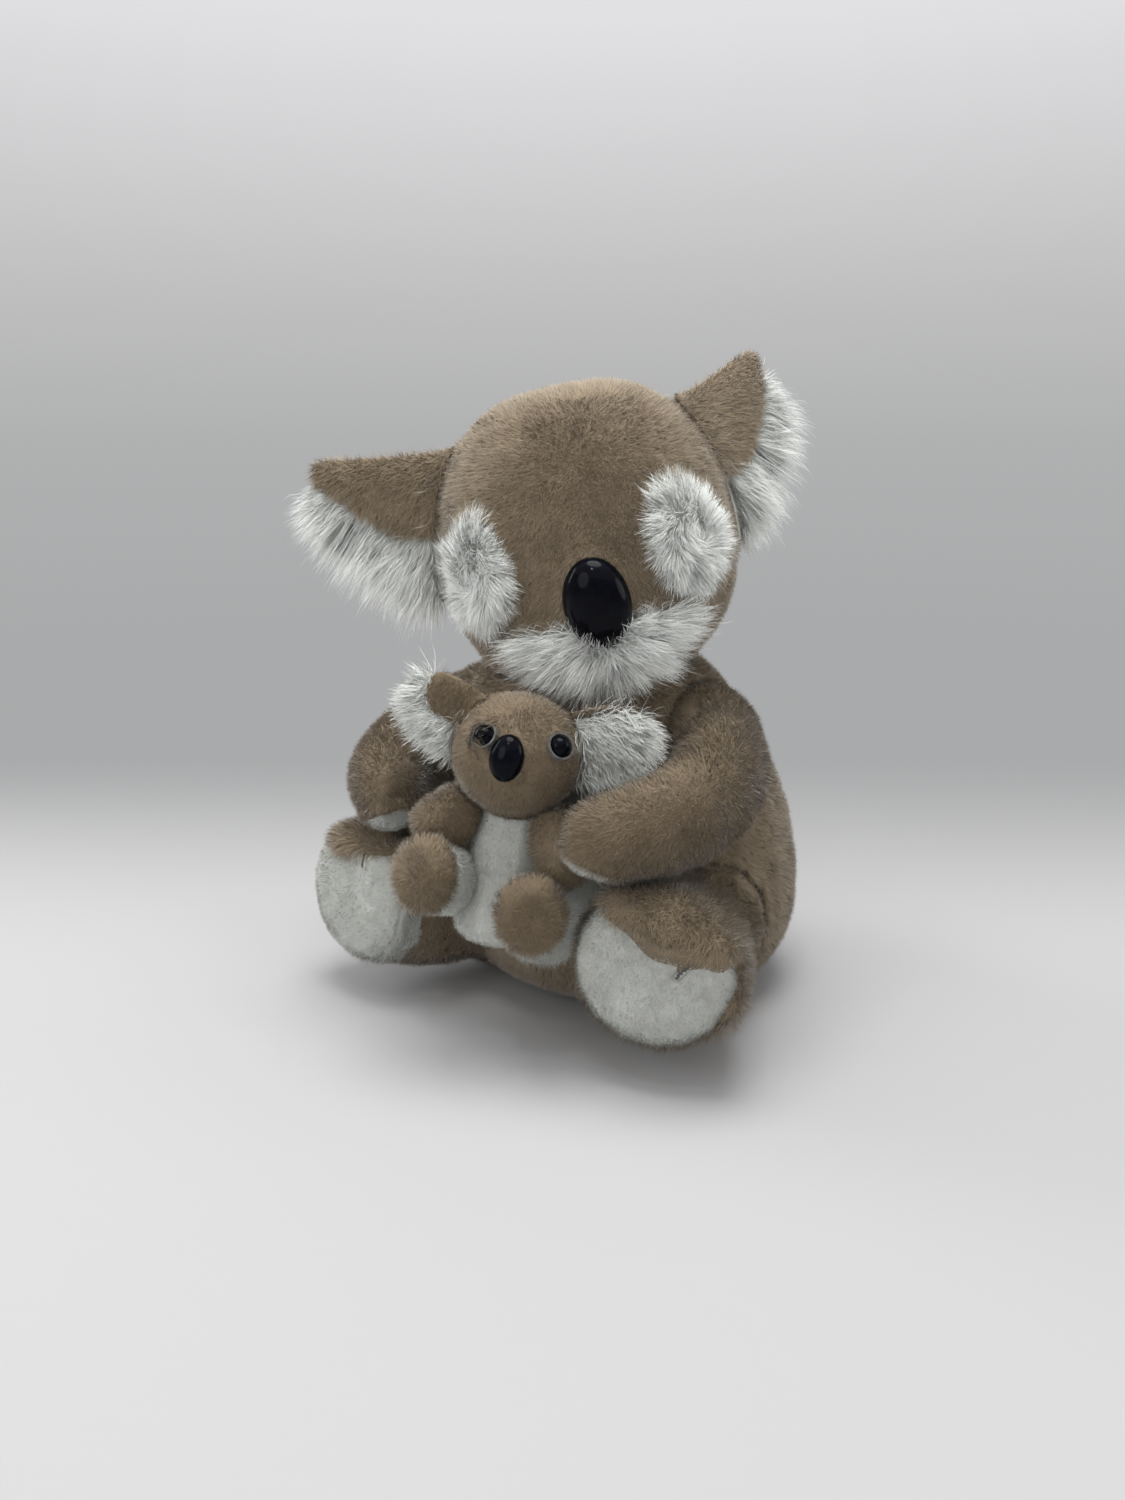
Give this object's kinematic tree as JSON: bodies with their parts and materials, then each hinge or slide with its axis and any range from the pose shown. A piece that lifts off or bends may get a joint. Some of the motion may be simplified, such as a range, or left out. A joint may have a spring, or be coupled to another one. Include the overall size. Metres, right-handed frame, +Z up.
{
  "type": "plush koala",
  "caption": "Sitting stuffed koala that hugs a baby koala; head turns, arms and legs swing out, ears flex.",
  "frame": {"origin": "on the ground at the flat seat, under the shoulders' middle", "axes": "+Z up, the toy's chest faces -Y, its own left is +X"},
  "size_m": [0.2696, 0.2714, 0.343],
  "materials": {
    "brown_plush": "taupe brown pile, 5 to 6 mm long",
    "long_white_fur": "long loose white fur",
    "short_white_plush": "short white pile",
    "white_felt": "smooth white felt ring",
    "black_plastic": "glossy",
    "washer_plastic": "plain, hidden inside"
  },
  "bodies": {
    "body": {"body": "brown_plush", "belly_panel": "short_white_plush", "baby_body": "brown_plush", "baby_belly_panel": "short_white_plush", "baby_head": "brown_plush", "baby_nose": "black_plastic", "baby_nose_washer": "washer_plastic", "baby_arm_left": "brown_plush", "baby_leg_left": "short_white_plush", "baby_sole_left": "brown_plush", "baby_ear_left": "brown_plush", "baby_ear_lining_left": "long_white_fur", "baby_eye_left": "black_plastic", "baby_eye_left_washer": "washer_plastic", "baby_eye_rim_left": "white_felt", "baby_arm_right": "brown_plush", "baby_leg_right": "short_white_plush", "baby_sole_right": "brown_plush", "baby_ear_right": "brown_plush", "baby_ear_lining_right": "long_white_fur", "baby_eye_right": "black_plastic", "baby_eye_right_washer": "washer_plastic", "baby_eye_rim_right": "white_felt"},
    "head": {"head": "brown_plush", "nose": "black_plastic", "nose_washer": "washer_plastic", "muzzle_fluff": "long_white_fur", "eye_left": "black_plastic", "eye_left_washer": "washer_plastic", "eye_patch_left": "long_white_fur", "eye_right": "black_plastic", "eye_right_washer": "washer_plastic", "eye_patch_right": "long_white_fur"},
    "left_ear": {"ear_left": "brown_plush", "ear_lining_left": "long_white_fur"},
    "left_arm": {"arm_left": "brown_plush", "palm_pad_left": "short_white_plush"},
    "left_leg": {"leg_left": "brown_plush", "sole_pad_left": "short_white_plush"},
    "right_ear": {"ear_right": "brown_plush", "ear_lining_right": "long_white_fur"},
    "right_arm": {"arm_right": "brown_plush", "palm_pad_right": "short_white_plush"},
    "right_leg": {"leg_right": "brown_plush", "sole_pad_right": "short_white_plush"}
  },
  "joints": [
    {"name": "neck_turn", "type": "hinge", "parent": "body", "child": "head", "pos_m": [0, -0.02, 0.254], "axis": [0, 0, 1], "range_deg": [-15, 15], "stiffness_Nm_per_rad": 0.5},
    {"name": "left_arm_swing", "type": "hinge", "parent": "body", "child": "left_arm", "pos_m": [0.07, -0.01, 0.152], "axis": [-0.342, 0, 0.9397], "range_deg": [0, 30], "stiffness_Nm_per_rad": 0.25},
    {"name": "right_arm_swing", "type": "hinge", "parent": "body", "child": "right_arm", "pos_m": [-0.07, -0.01, 0.152], "axis": [0.342, 0, 0.9397], "range_deg": [-30, 0], "stiffness_Nm_per_rad": 0.25},
    {"name": "left_leg_swing", "type": "hinge", "parent": "body", "child": "left_leg", "pos_m": [0.062, -0.02, 0.0495], "axis": [0, 0, 1], "range_deg": [0, 20], "stiffness_Nm_per_rad": 0.4},
    {"name": "right_leg_swing", "type": "hinge", "parent": "body", "child": "right_leg", "pos_m": [-0.062, -0.02, 0.0495], "axis": [0, 0, 1], "range_deg": [-20, 0], "stiffness_Nm_per_rad": 0.4},
    {"name": "left_ear_flex", "type": "hinge", "parent": "head", "child": "left_ear", "pos_m": [0.05064, 0.01416, 0.2848], "axis": [-0.3699, -0.2495, 0.8949], "range_deg": [-12, 12], "stiffness_Nm_per_rad": 0.05},
    {"name": "right_ear_flex", "type": "hinge", "parent": "head", "child": "right_ear", "pos_m": [-0.05659, -0.05817, 0.25848], "axis": [-0.0362, -0.0244, 0.999], "range_deg": [-12, 12], "stiffness_Nm_per_rad": 0.05}
  ]
}
